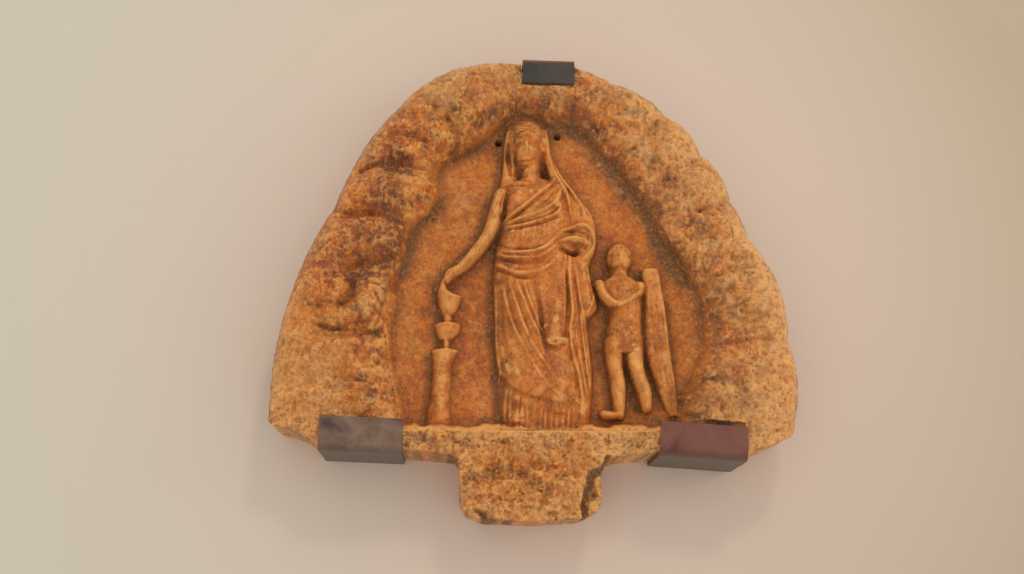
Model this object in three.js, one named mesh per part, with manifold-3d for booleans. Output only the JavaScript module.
// Marble votive relief shaped like a cave, with a tang below, held on a wall by three bent metal brackets.
// Millimetres, +Z up. The front faces -Y, the wall is the plane y = 0, and the origin is the middle of the
// top clip's wall plate. The relief itself is one block: its front is a height field over the wall, carved
// by the functions below and meshed finely where the carving turns, coarsely where it is calm.
import * as THREE from 'three';
import { mergeVertices } from 'three/addons/utils/BufferGeometryUtils.js';
import Module from 'manifold-3d';

// The stone
const SLAB_WIDTH = 547;
const CROWN_HEIGHT = 417; // from the broken ledge up to the crown of the cave
const BASE_DROP = 22; // from the ledge down to the underside
const TANG_WIDTH = 146;
const TANG_DROP = 69; // from the underside down to the foot of the tang
const RIM_THICKNESS = 79;
const GROUND_THICKNESS = 45; // the slab behind the figures
const LEDGE_THICKNESS = 77;
const TANG_THICKNESS = 74;
const ROCK_ROUNDING = 26; // the rock's outer edge
const BREAK_ROUNDING = 8; // the broken edge below
const LIP = [28, 46]; // how broadly the cave's mouth rounds over on the left and on the right
const LIP_FOOT = 6; // the mouth's wall starts this far inside its line
const LIP_FULLNESS = 2.4; // more is steeper at the foot and rounder above
const COVE = 5; // how far the ground curves forward where it meets the wall
const FLOOR_SLOPE = 11; // height of the slope from the ledge up to the ground
const WOMAN_HEIGHT = 351;
const CHILD_HEIGHT = 199;
const BURNER_HEIGHT = 154;
const HOLE_DIAMETER = 8;

// The brackets
const PLATE = 4; // thickness of the metal
const FIT = 0.3; // clearance between stone and metal
const FRONT_BEND = 4; // inside radius of the bend at the lip
const BACK_BEND = 0.6; // inside radius of the bend at the wall
const LEFT_WIDTH = 84;
const RIGHT_WIDTH = 89;
const CRADLE_LIP = 30.5; // height of the lip's inside
const CRADLE_BACK = 50; // height of the wall plate's inside
const CLIP_WIDTH = 57;
const CLIP_LIP = 26;
const CLIP_BACK = 40;
const PAD = [13, 2.4, 14]; // width, thickness and height of the dark pads behind the right lip
const PAD_REACH = [1.5, 4]; // how far each pad stands above the lip

// Feet of the figures and places of the holes, from the middle of the ledge
const WOMAN_FOOT = 0.0205 * SLAB_WIDTH;
const CHILD_FOOT = 0.17 * SLAB_WIDTH;
const BURNER_FOOT = -0.163 * SLAB_WIDTH;
const HOLES = [[-0.067 * SLAB_WIDTH, 0.78 * CROWN_HEIGHT], [0.053 * SLAB_WIDTH, 0.8 * CROWN_HEIGHT]];

// place is the middle of the floor's inner face, way is -1 on the clip, which hangs upside down, and above
// is how far the pads behind a lip stand above it.
const turn = THREE.MathUtils.degToRad;
const CRADLE = { lip: CRADLE_LIP, back: CRADLE_BACK, way: 1, gap: FIT, above: 0 };
const BRACKETS = [
  { ...CRADLE, name: 'cradle_left', width: LEFT_WIDTH, place: [-0.3205 * SLAB_WIDTH, 2.4 - BASE_DROP],
    tilt: turn(2.2) },
  { ...CRADLE, name: 'cradle_right', width: RIGHT_WIDTH, place: [0.3126 * SLAB_WIDTH, -BASE_DROP - 2.5],
    tilt: turn(3.8), gap: PAD[1] + 2 * FIT, above: Math.max(...PAD_REACH) },
  { name: 'clip_top', place: [0.0325 * SLAB_WIDTH, CROWN_HEIGHT - 8], tilt: turn(1), width: CLIP_WIDTH,
    lip: CLIP_LIP, back: CLIP_BACK, way: -1, gap: FIT, above: 0 },
];
const [LEFT, RIGHT, CLIP] = BRACKETS;

const STONE_BACK = PLATE + FIT; // the stone stands off the wall by the metal behind it
const HOLE_SIDES = 16;
const GRID = 256; // cells along the square on which the height field is sampled
const GRID_SIDE = 1.045 * Math.max(SLAB_WIDTH, CROWN_HEIGHT + BASE_DROP + TANG_DROP);
const GRID_MIDDLE = (CROWN_HEIGHT - BASE_DROP - TANG_DROP) / 2;
const TOLERANCE = 1.7; // how far the mesh may leave the carved form on the figures
const ROCK_CARE = 0.4; // the rock is followed with this share of that care
const SUNK = 4; // a limb starts this far below the ground, so that it joins it cleanly

// The proportions below are read from beneath, where low things look larger than high ones. Over this
// many millimetres of height a thing would shrink to nothing, and squared() takes that slant out again.
const SIGHT = 4200;
const squared = (share, height) => 1 - (1 - share) * height / SIGHT;
const LEAN = 0.006; // how far an upright leans to the right in that view

// Small mathematics
const clamp01 = (t) => Math.min(1, Math.max(0, t));
const mix = (a, b, t) => a + (b - a) * t;

const ease = (from, to, value) => {
  const t = clamp01((value - from) / (to - from));
  return t * t * (3 - 2 * t);
};

const softMax = (a, b, blend) => {
  const overlap = Math.max(blend - Math.abs(a - b), 0) / blend;
  return Math.max(a, b) + overlap * overlap * blend / 4;
};

// The nearest place on a chain of points: how far it is, its share of the chain and the values there.
function nearest(chain, x, z) {
  let best = Infinity;
  let index = 0;
  let share = 0;
  for (let i = 0; i + 1 < chain.length; i++) {
    const [ax, az] = chain[i];
    const dx = chain[i + 1][0] - ax;
    const dz = chain[i + 1][1] - az;
    const t = clamp01(((x - ax) * dx + (z - az) * dz) / (dx * dx + dz * dz));
    const away = (x - ax - t * dx) ** 2 + (z - az - t * dz) ** 2;
    if (away < best) [best, index, share] = [away, i, t];
  }
  const next = chain[index + 1];
  return {
    distance: Math.sqrt(best),
    along: (index + share) / (chain.length - 1),
    values: chain[index].map((value, k) => mix(value, next[k], share)),
  };
}

// Draws a smooth chain through the points, whatever number of values each point has.
function smooth(points, steps = 4) {
  const chain = [];
  for (let i = 0; i + 1 < points.length; i++) {
    const before = points[Math.max(i - 1, 0)];
    const after = points[Math.min(i + 2, points.length - 1)];
    for (let s = 0; s < steps; s++) {
      const t = s / steps;
      chain.push(points[i].map((b, k) => {
        const [a, c, d] = [before[k], points[i + 1][k], after[k]];
        return b + 0.5 * t * (c - a + t * (2 * a - 5 * b + 4 * c - d + t * (3 * (b - c) + d - a)));
      }));
    }
  }
  chain.push(points[points.length - 1]);
  return chain;
}

// The value that a chain of points, sorted by their first number, has at one such number.
function valuesAt(chain, key) {
  let i = 1;
  while (i + 1 < chain.length && chain[i][0] < key) i++;
  const t = clamp01((key - chain[i - 1][0]) / (chain[i][0] - chain[i - 1][0]));
  return chain[i].map((value, k) => mix(chain[i - 1][k], value, t));
}

const inside = (polygon, x, z) => polygon.reduce((odd, [ax, az], i) => {
  const [bx, bz] = polygon[(i + 1) % polygon.length];
  return (az > z) !== (bz > z) && x < ax + (z - az) * (bx - ax) / (bz - az) ? !odd : odd;
}, false);

const boxOf = (points, margin) => [
  Math.min(...points.map((p) => p[0])) - margin, Math.max(...points.map((p) => p[0])) + margin,
  Math.min(...points.map((p) => p[1])) - margin, Math.max(...points.map((p) => p[1])) + margin,
];

const inBox = ([x0, x1, z0, z1], x, z) => x > x0 && x < x1 && z > z0 && z < z1;

// Carving strokes. Each one has the box that bounds it, and changes the height at a point in that box.
const swell = (height, top, crown, blend) => {
  const low = GROUND_THICKNESS - SUNK;
  return softMax(height, low + (top - low) * crown, blend);
};

// A rounded limb along points of [x, z, radius, height of its crest].
function limb(points, blend) {
  const chain = smooth(points);
  return {
    box: boxOf(chain, Math.max(...points.map((p) => p[2]))),
    carve: (x, z, height) => {
      const { distance, values: [, , radius, top] } = nearest(chain, x, z);
      if (distance >= radius) return height;
      return swell(height, top, Math.sqrt(1 - (distance / radius) ** 2), blend);
    },
  };
}

// An oval swelling with its half sizes across and up.
function dome(x0, z0, across, up, top, blend) {
  return {
    box: [x0 - across, x0 + across, z0 - up, z0 + up],
    carve: (x, z, height) => {
      const q = ((x - x0) / across) ** 2 + ((z - z0) / up) ** 2;
      return q < 1 ? swell(height, top, Math.sqrt(1 - q), blend) : height;
    },
  };
}

// A draped or turned body, from rows of [z, left edge, right edge, height of its crest].
function body(rows, blend, fullness) {
  const chain = smooth(rows);
  const [low, high] = [chain[0][0], chain[chain.length - 1][0]];
  return {
    box: [Math.min(...chain.map((r) => r[1])), Math.max(...chain.map((r) => r[2])), low, high],
    carve: (x, z, height) => {
      const [, left, right, top] = valuesAt(chain, z);
      const across = Math.abs(2 * (x - left) / (right - left) - 1);
      return across < 1 ? swell(height, top, Math.sqrt(1 - across ** fullness), blend) : height;
    },
  };
}

// A fold that stands up from what is there, or a groove where rise is negative, with fading ends.
function fold(points, width, rise) {
  const chain = smooth(points);
  return {
    box: boxOf(chain, width),
    carve: (x, z, height) => {
      const { distance, along } = nearest(chain, x, z);
      if (distance >= width) return height;
      const fade = Math.min(1, 6 * Math.min(along, 1 - along) + 0.25);
      return height + rise * fade * (1 - (distance / width) ** 2) ** 2;
    },
  };
}

// Below the line, the cloth lies a step deeper than above it.
function hem(points, step, soft) {
  const line = smooth(points);
  const [left, right, , high] = boxOf(line, 0);
  return {
    box: [left, right, 0, high],
    carve: (x, z, height) => height - step * ease(0, soft, valuesAt(line, x)[1] - z),
  };
}

// A figure's own frame: its feet, and a hundredth of its height, in which all its sizes are counted.
function figure(footX, height) {
  const unit = height / 100;
  const shrink = (v) => squared(v / 100, height);
  const up = (v) => v * shrink(v) * unit;
  const along = (u, v) => footX * (1 + v * unit / SIGHT) + (u * shrink(v) + LEAN * v) * unit;
  const place = (points) => points.map(([u, v]) => [along(u, v), up(v)]);
  const top = (rise) => GROUND_THICKNESS + rise * unit;
  return {
    limb: (points, blend = 1) => limb(points.map(([u, v, radius, rise]) => [
      along(u, v), up(v), radius * shrink(v) * unit, top(rise)]), blend * unit),
    dome: (u, v, width, high, rise, blend = 1) => dome(
      along(u, v), up(v), width * unit, high * unit, top(rise), blend * unit),
    body: (rows, blend = 1, fullness = 2.6) => body(rows.map(([v, left, right, rise]) => [
      up(v), along(left, v), along(right, v), top(rise)]), blend * unit, fullness),
    fold: (points, width, rise) => fold(place(points), width * unit, rise * unit),
    hem: (points, step, soft) => hem(place(points), step * unit, soft * unit),
  };
}

// The rock's edge: corners as shares of the width and the crown, and the bulge of the edge after each.
const ROCK_EDGE = [
  [-0.494, 0.026, 0.075], [-0.366, 0.612, 0.06], [-0.238, 0.891, 0.13], [-0.0333, 1.003, 0.02],
  [0.085, 0.993, 0.05], [0.1556, 0.948, 0.1], [0.25, 0.867, 0.1], [0.3185, 0.76, 0.1],
  [0.3741, 0.633, 0.08], [0.405, 0.536, 0.11], [0.4833, 0.258, 0.1], [0.4852, -0.01, 0],
];
const EDGE_STEPS = 7;
const onRock = ([u, v]) => {
  const opened = squared(v, CROWN_HEIGHT);
  return [u * (opened + CROWN_HEIGHT / SIGHT) * SLAB_WIDTH, v * opened * CROWN_HEIGHT];
};

function arch() {
  const corners = ROCK_EDGE.map(onRock);
  return corners.flatMap(([x, z], i) => {
    const next = corners[i + 1];
    if (!next) return [[x, z]];
    const [dx, dz] = [next[0] - x, next[1] - z];
    return Array.from({ length: EDGE_STEPS }, (_, s) => {
      const t = s / EDGE_STEPS;
      const bulge = 4 * ROCK_EDGE[i][2] * t * (1 - t);
      return [x + dx * t - dz * bulge, z + dz * t + dx * bulge];
    });
  });
}

// The underside from right to left: it sits in the cradles, and the broken tang hangs in the middle.
function underside() {
  const underCradle = ({ place, width, tilt }, side) => [
    place[0] + side * (width / 2 + 1), place[1] - 1.5 - side * width / 2 * Math.tan(tilt)];
  const low = -BASE_DROP;
  const foot = low - TANG_DROP;
  const left = -3 - TANG_WIDTH / 2;
  const right = TANG_WIDTH / 2 - 3;
  return [
    [0.44 * SLAB_WIDTH, low + 7], [0.415 * SLAB_WIDTH, low + 4], underCradle(RIGHT, 1),
    underCradle(RIGHT, -1), [right + 22, low - 3], [right + 5, low - 7], [right - 2, low - 22],
    [right - 1, foot + 22], [right - 7, foot + 9], [right - 24, foot + 3], [0, foot],
    [left + 24, foot + 2], [left + 8, foot + 8], [left + 1, foot + 20], [left, foot + 46],
    [left, low - 12], [left - 5, low - 4], [left - 24, low - 2], underCradle(LEFT, 1),
    underCradle(LEFT, -1), [-0.428 * SLAB_WIDTH, low + 16], [-0.452 * SLAB_WIDTH, low + 22],
    [-0.485 * SLAB_WIDTH, low + 26],
  ];
}

// The mouth of the cave, half way up its wall, in the same shares.
const CAVE_MOUTH = [
  [-0.246, 0.0], [-0.257, 0.09], [-0.267, 0.16], [-0.274, 0.27], [-0.265, 0.32], [-0.259, 0.36],
  [-0.268, 0.404], [-0.246, 0.48], [-0.237, 0.544], [-0.217, 0.585], [-0.186, 0.635],
  [-0.18, 0.72], [-0.144, 0.76], [-0.09, 0.81], [-0.04, 0.868], [0.005, 0.876], [0.035, 0.852],
  [0.074, 0.852], [0.112, 0.82], [0.14, 0.77], [0.172, 0.725], [0.222, 0.623], [0.262, 0.524],
  [0.285, 0.464], [0.318, 0.41], [0.332, 0.34], [0.335, 0.25], [0.318, 0.17], [0.298, 0.11],
  [0.284, 0.05], [0.278, 0.0],
];

// Creases between the boulders, in the same shares: points, breadth and depth.
const CREASES = [
  [[[-0.19, 0.868], [-0.169, 0.857], [-0.151, 0.825], [-0.128, 0.79]], 14, 9],
  [[[-0.335, 0.688], [-0.29, 0.71], [-0.254, 0.709], [-0.185, 0.697]], 14, 9],
  [[[-0.274, 0.8], [-0.231, 0.79], [-0.174, 0.75]], 12, 5],
  [[[-0.372, 0.592], [-0.318, 0.585], [-0.272, 0.575], [-0.225, 0.56]], 14, 9],
  [[[-0.35, 0.43], [-0.304, 0.455], [-0.273, 0.467], [-0.243, 0.478]], 13, 9],
  [[[-0.42, 0.334], [-0.374, 0.334], [-0.341, 0.351], [-0.333, 0.388], [-0.348, 0.423]], 12, 8],
  [[[-0.42, 0.296], [-0.365, 0.273], [-0.305, 0.261], [-0.264, 0.28]], 14, 8],
  [[[-0.39, 0.134], [-0.348, 0.135], [-0.268, 0.136]], 6, 3],
  [[[-0.39, 0.11], [-0.348, 0.108], [-0.272, 0.111]], 6, 3],
  [[[-0.102, 0.977], [-0.091, 0.927], [-0.08, 0.891]], 14, 4],
  [[[0.15, 0.937], [0.135, 0.904], [0.12, 0.857]], 14, 4],
  [[[0.244, 0.846], [0.217, 0.81], [0.183, 0.76]], 14, 4],
  [[[0.313, 0.737], [0.272, 0.714], [0.226, 0.661]], 14, 4],
  [[[0.365, 0.62], [0.32, 0.607], [0.263, 0.552]], 14, 4],
  [[[0.413, 0.484], [0.367, 0.464], [0.32, 0.404]], 14, 4],
  [[[0.474, 0.242], [0.422, 0.255], [0.376, 0.247], [0.33, 0.229]], 13, 4],
  [[[0.277, 0.081], [0.305, 0.125], [0.339, 0.145], [0.377, 0.134], [0.402, 0.102]], 10, 4],
];

// Boulders, in the same shares: place, half length, half breadth, rise and angle in degrees.
const BOULDERS = [
  [-0.12, 0.89, 46, 30, 7, 40], [-0.204, 0.786, 42, 22, 5, 35], [-0.261, 0.661, 52, 24, 7, 8],
  [-0.307, 0.526, 50, 24, 6, 12], [-0.383, 0.391, 32, 22, 5, 8], [-0.304, 0.352, 26, 28, 8, 80],
  [-0.383, 0.203, 40, 26, 3, 0], [-0.344, 0.081, 38, 14, 3, 0], [0.02, 0.93, 46, 18, 4, 0],
  [0.104, 0.904, 34, 26, 4, -40], [0.194, 0.849, 36, 24, 5, -45], [0.263, 0.755, 36, 24, 5, -50],
  [0.32, 0.661, 36, 22, 5, -50], [0.376, 0.539, 40, 24, 5, -55], [0.431, 0.352, 40, 28, 5, -65],
  [0.431, 0.135, 30, 44, 4, 0], [0.342, 0.05, 38, 38, 5, 0],
];

// The woman, in hundredths of her height: veiled, her right hand over the burner.
function womansHead(her) {
  return [
    her.dome(-5.6, 91, 7.9, 12, 5.4, 2),
    her.limb([[-4.2, 86, 3.2, 6.6], [-4.4, 79.5, 3.9, 6.4]]),
    her.dome(-5.2, 92.4, 6.7, 7.4, 7.6),
    her.dome(-5.6, 88.4, 4.4, 5.8, 9.6),
    her.fold([[-9, 91], [-7.2, 90.2], [-4, 90.2], [-2.4, 91]], 1, -0.9),
    her.fold([[-5.8, 91], [-5.9, 88.6], [-6, 87]], 0.8, 1.2),
    her.fold([[-7.4, 85.2], [-5.9, 85], [-4.4, 85.2]], 0.6, -0.4),
    ...[-9.6, -1].map((u) => her.fold([[-5.3, 97.6], [u, 96], [1.06 * u + 0.2, 90.6]], 1, 0.8)),
  ];
}

function womansBody(her) {
  return [
    her.body([ // veil and mantle over her left arm
      [36, 8, 13, 5], [40.4, 8, 17.3, 5.6], [46, 8, 16.2, 6], [53, 8, 14.6, 6.4], [58, 8, 16.2, 6.8],
      [64, 7, 17, 6.8], [70, 5, 15.8, 6], [74, 3, 12.6, 5.8], [78.5, 1, 9, 5.6], [82.6, 0, 5.6, 5.4],
      [86.4, -1, 3.5, 5.2], [91, -2, 2.1, 5], [96, -3, 1.2, 5]]),
    her.body([[77, -15, -9, 4.6], [81, -13.9, -8, 5], [86, -13.2, -8, 4.8], [91, -13, -7, 4.6],
      [96, -12.4, -7, 4.6]]),
    her.body([ // dress and mantle
      [0, -14.5, 14.6, 7.2], [10, -14.8, 15.5, 7.6], [20, -15, 15.8, 8.2], [30, -15.9, 14.6, 8.6],
      [40, -16.5, 14, 9], [50, -16.5, 14.2, 8.6], [59, -15.6, 13, 7.8], [65, -14.8, 11, 8],
      [71, -15.8, 9.6, 8.2], [75.5, -15.4, 8, 7.4], [78.5, -13.6, 5.6, 6.2], [81, -9, 2.4, 5]], 1.2, 3),
    her.limb([[-13.4, 75.4, 3, 7.6], [-15.4, 69, 2.9, 7.6], [-18, 62.6, 2.5, 7.2],
      [-25, 54, 1.95, 6.6], [-28.6, 50.8, 1.7, 6.2]]),
    her.limb([[-28.6, 50.8, 1.9, 6.4], [-30.4, 49.2, 2, 6.4], [-31.4, 47, 1.3, 5.8]]),
    her.dome(-8, 72.6, 4.6, 4.4, 9.2),
    her.dome(1.8, 72, 4.8, 4.6, 9.2),
    her.dome(-4.6, 63.5, 6.2, 6.6, 8.8),
    her.body([[28.6, -1, 5, 10.4], [34, -1.4, 5.6, 10.8], [40, -1.2, 5.4, 10.4], [48, -0.6, 4.6, 9.2]]),
    her.body([[6, 1.6, 8.6, 8.2], [14, 1.4, 9, 9], [22, 1, 9.2, 9.6], [27.4, 1.2, 8.6, 9.4]]),
    her.limb([[13, 60, 2.2, 9], [9.6, 60.6, 2.2, 9.6], [6.8, 60.6, 1.5, 9.4], [4.6, 60, 0.9, 9]]),
    her.limb([[-9, 2.6, 2.2, 8.6], [-7, 2, 2, 8]]),
  ];
}

function womansFolds(her) {
  const lap = [
    [[-12.6, 49.8], [-11.7, 41], [-9.8, 31.2], [-5.8, 23.9], [-1.2, 17], [5.3, 11.3]],
    [[-10.9, 49.2], [-9.8, 41], [-6.4, 32.8], [-2.7, 24.9], [2.2, 17.9]],
    [[-8.6, 49.2], [-7.4, 43.2], [-5.5, 37.5], [-1.8, 31.5], [0.4, 27.1]],
    [[-6.4, 48.2], [-5.8, 43.2], [-3, 35.3], [0.4, 28.4]],
  ];
  const hanging = [
    [[6.2, 53.3], [6.9, 43.2], [8.1, 29.3], [9.6, 23], [9.3, 13.2]],
    [[8.1, 53.9], [8.7, 43.2], [9.6, 33.1], [11.8, 21.1], [13, 6.6]],
    [[9.6, 49.2], [10.9, 35.3], [12.4, 27.1], [14.4, 15.1], [14.6, 7.2]],
    [[11.5, 47.3], [12.6, 37.8], [13.8, 27.1], [14.8, 19.8]],
    [[-14.4, 48], [-13.8, 35], [-13.4, 22]],
  ];
  const pleats = Array.from({ length: 13 }, (_, i) => -13 + 2 * i);
  return [
    her.fold([[-9.4, 46], [-9.8, 34], [-9, 22]], 5, 0.8),
    ...lap.map((line) => her.fold(line, 1.4, 1.1)),
    ...hanging.map((line) => her.fold(line, 1.2, 1.4)),
    her.fold([[0.4, 28.6], [7.8, 28.6]], 1.2, -2),
    her.fold([[-15.4, 59.6], [-12.6, 57.4], [-7.4, 56.6], [-2.7, 57.4], [1.3, 59.9], [4.1, 62.8],
      [8.4, 66.2], [12.4, 68.6], [15, 67], [16, 62], [15, 57], [12, 54]], 1.7, 2.2),
    her.fold([[-15.1, 57], [-11.1, 54.9], [-5.8, 54.2], [-1.2, 55.4], [2.5, 57.6], [5.6, 60.4]], 1.5, 1.7),
    her.fold([[-15.7, 53.3], [-11.7, 51.1], [-6.1, 50.1], [-1.2, 51.6], [3.4, 54.6]], 1.6, 1.9),
    her.fold([[-15, 50.4], [-11.4, 48.4], [-6.1, 47.4], [-1, 49], [3, 51.4]], 1.2, -1.4),
    her.fold([[2.6, 80.4], [-1.2, 76.8], [-6.7, 72.4], [-13, 67.6]], 1.3, 1.5),
    her.fold([[2.6, 78.2], [-1, 74.6], [-6.3, 70.2], [-12, 65.8]], 1, -1.3),
    her.fold([[5.6, 77], [1.8, 72.4], [-3, 68], [-7.4, 66.9], [-12, 66.6]], 1.3, 1),
    her.fold([[8, 72], [4.4, 67], [0, 64.6]], 1.2, 0.9),
    her.fold([[-10.8, 78.6], [-12.8, 73], [-12, 68.4], [-14.6, 66]], 1.2, 1.1),
    her.fold([[14.4, 65], [13.6, 60], [12.2, 57.6]], 1.3, 1),
    her.hem([[-14, 19.4], [-10.1, 16.1], [-2.7, 12.3], [4.4, 11.3], [8.4, 9], [12.6, 5]], 1.6, 1),
    ...pleats.map((u) => her.fold([[u, 0.6], [u, 5], [u, 0.5 + 9.6 * (1 - u / 26)]], 0.8, 0.9)),
  ];
}

// The naked winged child at her left, in hundredths of its height.
function child() {
  const its = figure(CHILD_FOOT, CHILD_HEIGHT);
  return [
    its.body([ // wing
      [10, 25, 31.6, 4], [18, 21.6, 31, 5], [27, 18.1, 29.7, 6.4], [36, 14.6, 28.2, 7.2],
      [44, 12, 27, 7.6], [52, 11, 25.8, 8], [62.5, 10.9, 24.6, 8.4], [73.4, 10.8, 22.9, 8.6],
      [82, 10.4, 20.9, 8.4], [87, 10.2, 19, 7.8], [91, 12.4, 17, 6]], 1, 3.6),
    its.body([ // trunk
      [44, -9.8, 10.4, 9], [50, -9.8, 10.4, 11], [56, -8.6, 9.8, 11.4], [62.5, -7, 9.4, 10.8],
      [67, -6.8, 9.4, 10.6], [73, -8.8, 9.8, 11], [80, -13, 10, 10.4], [85, -8.6, 5.4, 8.4]], 1, 2.4),
    its.limb([[-5.4, 48.6, 4.6, 11], [-4.6, 40, 4, 11], [-2.8, 30, 3.5, 10.4], [-1.8, 20, 3, 10],
      [-1.9, 11, 2.8, 9.4]]),
    its.limb([[-2, 10.6, 2.8, 9], [-6, 10.4, 2.9, 8.4], [-9.8, 11, 3, 7.6]]),
    its.limb([[5.6, 48.6, 4.8, 11], [5.6, 41, 4.6, 12], [6.2, 35.6, 4.2, 12], [9.2, 29, 3.9, 11.4],
      [12.2, 21, 3.5, 10], [12.8, 15, 2.6, 8.6]]),
    its.limb([[-2, 89.6, 3.6, 9], [-2, 83, 4, 9]]),
    its.limb([[-13.4, 81.4, 3.2, 11], [-11, 75.7, 2.8, 13], [-7.2, 71.6, 2.5, 14], [-2.6, 69.4, 2.4, 14]]),
    its.limb([[9, 80, 3.1, 11], [7.8, 76.4, 2.7, 13], [3.8, 72.6, 2.5, 14], [-1.8, 69.6, 2.4, 14]]),
    its.dome(-1.9, 97, 6.6, 8.2, 11),
    its.dome(-1.8, 95, 5.2, 7, 13.2),
    its.fold([[-2, 97.4], [-2, 94], [-2.1, 92.6]], 1.2, 1.4),
    its.fold([[-4.8, 97.6], [1, 97.6]], 1.4, -1.2),
    its.fold([[-4, 62.6], [1, 60.6], [6, 62.6]], 1.8, -0.8),
    its.fold([[-4.4, 54], [0.4, 50.4], [5.4, 54]], 1.8, -1.4),
    its.fold([[4.4, 41], [7.4, 38.4], [6.4, 34]], 2.2, -1.8),
    its.fold([[24.4, 76], [27.4, 49], [31, 16]], 2, -1),
  ];
}

// The incense burner, in hundredths of its height: a waisted stand, a bowl, a cup and its lid.
function burner() {
  const its = figure(BURNER_FOOT, BURNER_HEIGHT);
  return [
    its.body([[0, -15.4, 4, 9], [12, -15, 3.2, 9.4], [24, -12.4, 2.6, 9.8], [36, -10.8, 3.2, 10.4],
      [48, -10.6, 4.4, 10.8], [55, -10.6, 8, 11.2], [58, -10.8, 8.8, 11.2]], 0.6, 2),
    its.body([[57, -3, 2.2, 9], [66.6, -3, 2.6, 9]], 0.6, 2),
    its.body([[65, -4.6, 3, 9], [67.5, -6.4, 7, 11], [71, -7.6, 9.4, 12.4], [76, -8.4, 10.2, 13]],
      0.6, 2),
    its.body([[75, -2.6, 3.8, 9], [86, -3.4, 5, 9]], 0.6, 2),
    its.body([[82, -3.6, 5.2, 9], [86, -5, 8, 11], [90, -6.6, 10, 12.4], [95.6, -7.6, 11.4, 13]],
      0.6, 2),
    its.body([[94.6, -7.6, 11, 12], [98, -6.8, 4, 12], [100, -6, 1, 11], [107, -3.6, -0.6, 9]], 0.6, 2),
  ];
}

// The front's height above the stone's back: the cave, its rim, the ledge and tang, then the figures.
const OUTLINE = [...arch(), ...underside()];
const EDGE = [...OUTLINE, OUTLINE[0]];
const MOUTH = smooth(CAVE_MOUTH.map(onRock));
const ROCK_STROKES = CREASES.map(([points, width, depth]) => fold(points.map(onRock), width, -depth));
const HER = figure(WOMAN_FOOT, WOMAN_HEIGHT);
const FIGURES = [...burner(), ...child(), ...womansBody(HER), ...womansFolds(HER), ...womansHead(HER)];

function boulderRise(x, z) {
  let rise = 0;
  for (const [u, v, length, breadth, high, degrees] of BOULDERS) {
    const [x0, z0] = onRock([u, v]);
    const [dx, dz] = [x - x0, z - z0];
    const [c, s] = [Math.cos(turn(degrees)), Math.sin(turn(degrees))];
    const q = ((dx * c + dz * s) / length) ** 2 + ((dz * c - dx * s) / breadth) ** 2;
    rise = Math.max(rise, high * (1 - q));
  }
  return rise;
}

const carved = (strokes, x, z, height) => strokes.reduce(
  (now, stroke) => (inBox(stroke.box, x, z) ? stroke.carve(x, z, now) : now), height);

function frontHeight(x, z) {
  const open = z > 0 && inside(MOUTH, x, z);
  const fromMouth = nearest(MOUTH, x, z).distance * (open ? -1 : 1);
  const rim = carved(ROCK_STROKES, x, z, RIM_THICKNESS + boulderRise(x, z));
  const broken = mix(TANG_THICKNESS, LEDGE_THICKNESS, ease(-BASE_DROP - 12, -BASE_DROP, z));
  const beside = ease(0.27 * SLAB_WIDTH, 0.31 * SLAB_WIDTH, Math.abs(x));
  const rock = z < 0 ? mix(broken, rim, beside) : rim;
  const ground = GROUND_THICKNESS + COVE * ease(-45, 0, fromMouth);
  const lip = mix(...LIP, ease(-0.15 * SLAB_WIDTH, 0.15 * SLAB_WIDTH, x));
  const over = clamp01((fromMouth + LIP_FOOT) / lip);
  const wall = z < 0 ? 1 : 1 - (1 - over) ** LIP_FULLNESS;
  let height = mix(ground, rock, wall);
  if (open) height = mix(LEDGE_THICKNESS - 3, height, ease(0, FLOOR_SLOPE, z));
  if (z > 0) height = carved(FIGURES, x, z, height);
  const rounding = z < 0 ? BREAK_ROUNDING : mix(BREAK_ROUNDING, ROCK_ROUNDING, ease(0, 20, z));
  const fromEdge = inside(OUTLINE, x, z) ? nearest(EDGE, x, z).distance : 0;
  const short = 1 - clamp01(fromEdge / rounding);
  return height - rounding * (1 - Math.sqrt(1 - short * short));
}

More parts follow.
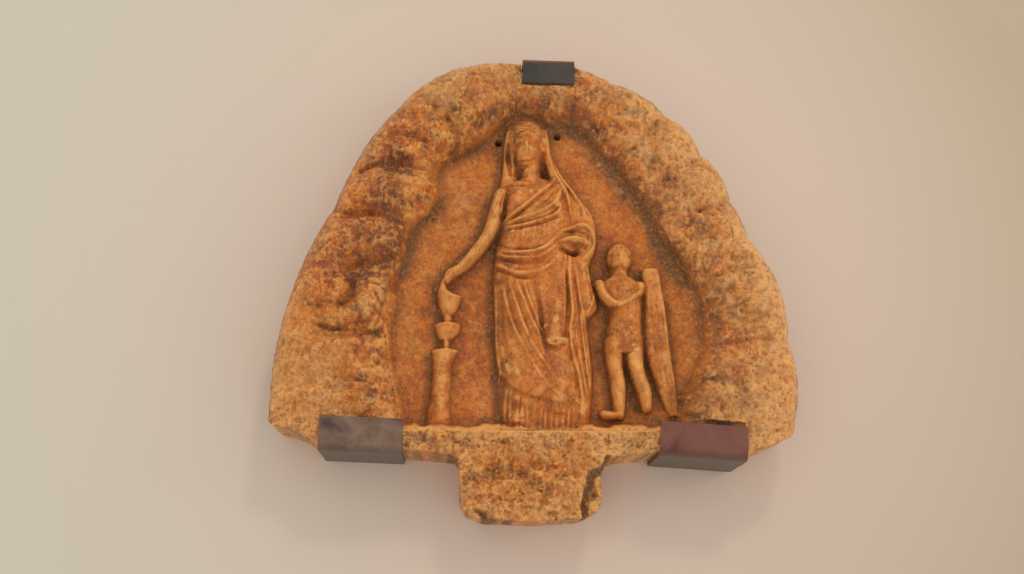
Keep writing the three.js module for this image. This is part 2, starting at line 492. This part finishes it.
// An adaptive mesh of right triangles. A triangle is split at the middle of its long side wherever it,
// or a smaller triangle within it, misses the form by more than the tolerance, square to the surface.
function adaptiveMesh() {
  const side = GRID + 1;
  const step = GRID_SIDE / GRID;
  const [left, low] = [-GRID_SIDE / 2, GRID_MIDDLE - GRID_SIDE / 2];
  const at = (column, row) => row * side + column;
  const flatPlace = (id) => [left + (id % side) * step, low + Math.floor(id / side) * step];
  const heights = Float64Array.from({ length: side * side }, (_, id) => frontHeight(...flatPlace(id)));
  const care = heights.map((height, id) => {
    const [x, z] = flatPlace(id);
    const share = z > 0 && inside(MOUTH, x, z) ? 1 : ROCK_CARE;
    const slopes = [1, side].map((to) => (
      (heights[id + to] ?? height) - (heights[id - to] ?? height)) / (2 * step));
    return share / Math.hypot(1, ...slopes);
  });
  const missed = new Float64Array(side * side);
  let settled = false;
  const smallest = (ax, ay, cx, cy) => Math.abs(ax - cx) + Math.abs(ay - cy) < 2;
  const measure = (ax, ay, bx, by, cx, cy) => {
    if (smallest(ax, ay, cx, cy)) return 0;
    const [mx, my] = [(ax + bx) / 2, (ay + by) / 2];
    const middle = at(mx, my);
    const off = Math.abs((heights[at(ax, ay)] + heights[at(bx, by)]) / 2 - heights[middle]);
    const worst = Math.max(missed[middle], off * care[middle],
      measure(cx, cy, ax, ay, mx, my), measure(bx, by, cx, cy, mx, my));
    if (worst > missed[middle]) settled = false;
    missed[middle] = worst;
    return worst;
  };
  const triangles = [];
  const divide = (ax, ay, bx, by, cx, cy) => {
    const [mx, my] = [(ax + bx) / 2, (ay + by) / 2];
    if (!smallest(ax, ay, cx, cy) && missed[at(mx, my)] > TOLERANCE) {
      divide(cx, cy, ax, ay, mx, my);
      divide(bx, by, cx, cy, mx, my);
    } else {
      triangles.push([at(ax, ay), at(cx, cy), at(bx, by)]);
    }
  };
  const halves = [[0, 0, GRID, GRID, GRID, 0], [GRID, GRID, 0, 0, 0, GRID]];
  while (!settled) {
    settled = true;
    halves.forEach((half) => measure(...half));
  }
  halves.forEach((half) => divide(...half));
  const place = (id) => {
    const [x, z] = flatPlace(id);
    return [x, -heights[id], z];
  };
  return { triangles, place };
}

// Solids
const wasm = await Module();
wasm.setup();

function solidOf(geometry) {
  const bare = geometry.clone();
  bare.deleteAttribute('normal');
  bare.deleteAttribute('uv');
  const merged = mergeVertices(bare, 1e-3);
  return new wasm.Manifold(new wasm.Mesh({
    numProp: 3,
    vertProperties: merged.attributes.position.array,
    triVerts: new Uint32Array(merged.index.array),
  }));
}

function geometryOf(solid) {
  const { vertProperties, triVerts } = solid.getMesh();
  const geometry = new THREE.BufferGeometry();
  geometry.setAttribute('position', new THREE.BufferAttribute(vertProperties, 3));
  geometry.setIndex(new THREE.BufferAttribute(triVerts, 1));
  return geometry;
}

// The block behind the height field: the mesh, its sides and a fan at the back.
function carvedBlock() {
  const { triangles, place } = adaptiveMesh();
  const corners = triangles.flatMap((triangle) => triangle.map(place));
  const border = new Map();
  for (const triangle of triangles) {
    triangle.forEach((id, k) => {
      const next = triangle[(k + 1) % 3];
      if (!border.delete(`${next},${id}`)) border.set(`${id},${next}`, [id, next]);
    });
  }
  const behind = ([x, , z]) => [x, 0, z];
  const middle = [0, 0, GRID_MIDDLE];
  for (const [from, to] of border.values()) {
    const [a, b] = [place(from), place(to)];
    corners.push(b, a, behind(a), b, behind(a), behind(b), behind(b), behind(a), middle);
  }
  const geometry = new THREE.BufferGeometry();
  geometry.setAttribute('position', new THREE.Float32BufferAttribute(corners.flat(), 3));
  return solidOf(geometry);
}

// A flat shape in the plane of the wall, pushed forward.
function pushed(points, depth) {
  const shape = new THREE.Shape(points.map(([x, z]) => new THREE.Vector2(x, z)));
  const geometry = new THREE.ExtrudeGeometry(shape, { depth, bevelEnabled: false });
  return geometry.rotateX(Math.PI / 2);
}

// A side view of points [depth, height], pushed along a bracket's length and set at its place and tilt.
function across(profile, width, { place, tilt, way }) {
  const shape = new THREE.Shape(profile.map(([depth, height]) => new THREE.Vector2(depth, way * height)));
  const geometry = new THREE.ExtrudeGeometry(shape, { depth: width, bevelEnabled: false });
  geometry.translate(0, 0, -width / 2);
  geometry.applyMatrix4(new THREE.Matrix4().makeBasis(
    new THREE.Vector3(0, -1, 0), new THREE.Vector3(0, 0, 1), new THREE.Vector3(-1, 0, 0)));
  return geometry.rotateY(tilt).translate(place[0], 0, place[1]);
}

const bend = (depth, height, radius, from, to, steps = 5) => Array.from({ length: steps + 1 }, (_, i) => {
  const angle = mix(from, to, i / steps) * Math.PI / 2;
  return [depth + radius * Math.cos(angle), height + radius * Math.sin(angle)];
});

const lipDepth = ({ gap }) => STONE_BACK + RIM_THICKNESS + gap;

// One strip of metal: the wall plate, the floor that carries the stone, and the lip in front of it.
function bracketGeometry(bracket) {
  const { lip, back, width } = bracket;
  const inner = lipDepth(bracket);
  const [wide, tight] = [FRONT_BEND + PLATE, BACK_BEND + PLATE];
  const profile = [
    [0, back], ...bend(tight, BACK_BEND, tight, 2, 3),
    ...bend(inner - FRONT_BEND, FRONT_BEND, wide, 3, 4), [inner + PLATE, lip], [inner, lip],
    ...bend(inner - FRONT_BEND, FRONT_BEND, FRONT_BEND, 4, 3),
    ...bend(tight, BACK_BEND, BACK_BEND, 3, 2), [PLATE, back],
  ];
  return across(profile, width, bracket);
}

// What a bracket takes away from the stone: all below its floor and before its lip, with the clearance.
function bracketRoom(bracket) {
  const { lip, width, above } = bracket;
  const [front, far] = [lipDepth(bracket) - bracket.gap, 2 * RIM_THICKNESS];
  const top = lip + above + FIT;
  const room = [
    [-PLATE, -far], [2 * far, -far], [2 * far, top], [front, top],
    ...bend(front - FRONT_BEND, FIT + FRONT_BEND, FRONT_BEND, 4, 3), [-PLATE, FIT],
  ];
  return across(room, width + 2 * FIT, bracket);
}

function reliefGeometry() {
  let stone = carvedBlock().translate([0, -STONE_BACK, 0]);
  stone = stone.intersect(solidOf(pushed(OUTLINE, 3 * RIM_THICKNESS)));
  for (const [x, z] of HOLES) {
    const drill = new THREE.CylinderGeometry(HOLE_DIAMETER / 2, HOLE_DIAMETER / 2, 4 * RIM_THICKNESS,
      HOLE_SIDES);
    stone = stone.subtract(solidOf(drill.translate(x, 0, z)));
  }
  for (const bracket of BRACKETS) stone = stone.subtract(solidOf(bracketRoom(bracket)));
  return geometryOf(stone);
}

// A dark pad between the right lip and the stone, standing a little above the lip.
function padGeometry(offset, reach) {
  const [width, thickness, height] = PAD;
  const [near, top] = [lipDepth(RIGHT) - RIGHT.gap + FIT, RIGHT.lip + reach];
  const profile = [
    [near, top - height], [near + thickness, top - height], [near + thickness, top], [near, top]];
  return across(profile, width, { ...RIGHT, place: [
    RIGHT.place[0] + offset * Math.cos(RIGHT.tilt), RIGHT.place[1] - offset * Math.sin(RIGHT.tilt)] });
}

// The finished model
const MARBLE = new THREE.MeshStandardMaterial({ color: 0xb98448, roughness: 0.7, metalness: 0 });
const METAL = new THREE.MeshStandardMaterial({ color: 0x5c4a44, roughness: 0.5, metalness: 0.7 });
const RUBBER = new THREE.MeshStandardMaterial({ color: 0x2a1c1c, roughness: 0.8, metalness: 0 });

const hung = new THREE.Group();
function add(name, geometry, material) {
  const mesh = new THREE.Mesh(geometry, material);
  mesh.name = name;
  hung.add(mesh);
}

add('relief', reliefGeometry(), MARBLE);
for (const bracket of BRACKETS) add(bracket.name, bracketGeometry(bracket), METAL);
add('pad_inner', padGeometry(-RIGHT_WIDTH / 2 + 15, PAD_REACH[0]), RUBBER);
add('pad_outer', padGeometry(RIGHT_WIDTH / 2 - 23, PAD_REACH[1]), RUBBER);
hung.position.set(-CLIP.place[0], 0, -(CLIP.place[1] - CLIP_BACK / 2));

const votiveRelief = new THREE.Group();
votiveRelief.add(hung);

export default votiveRelief;
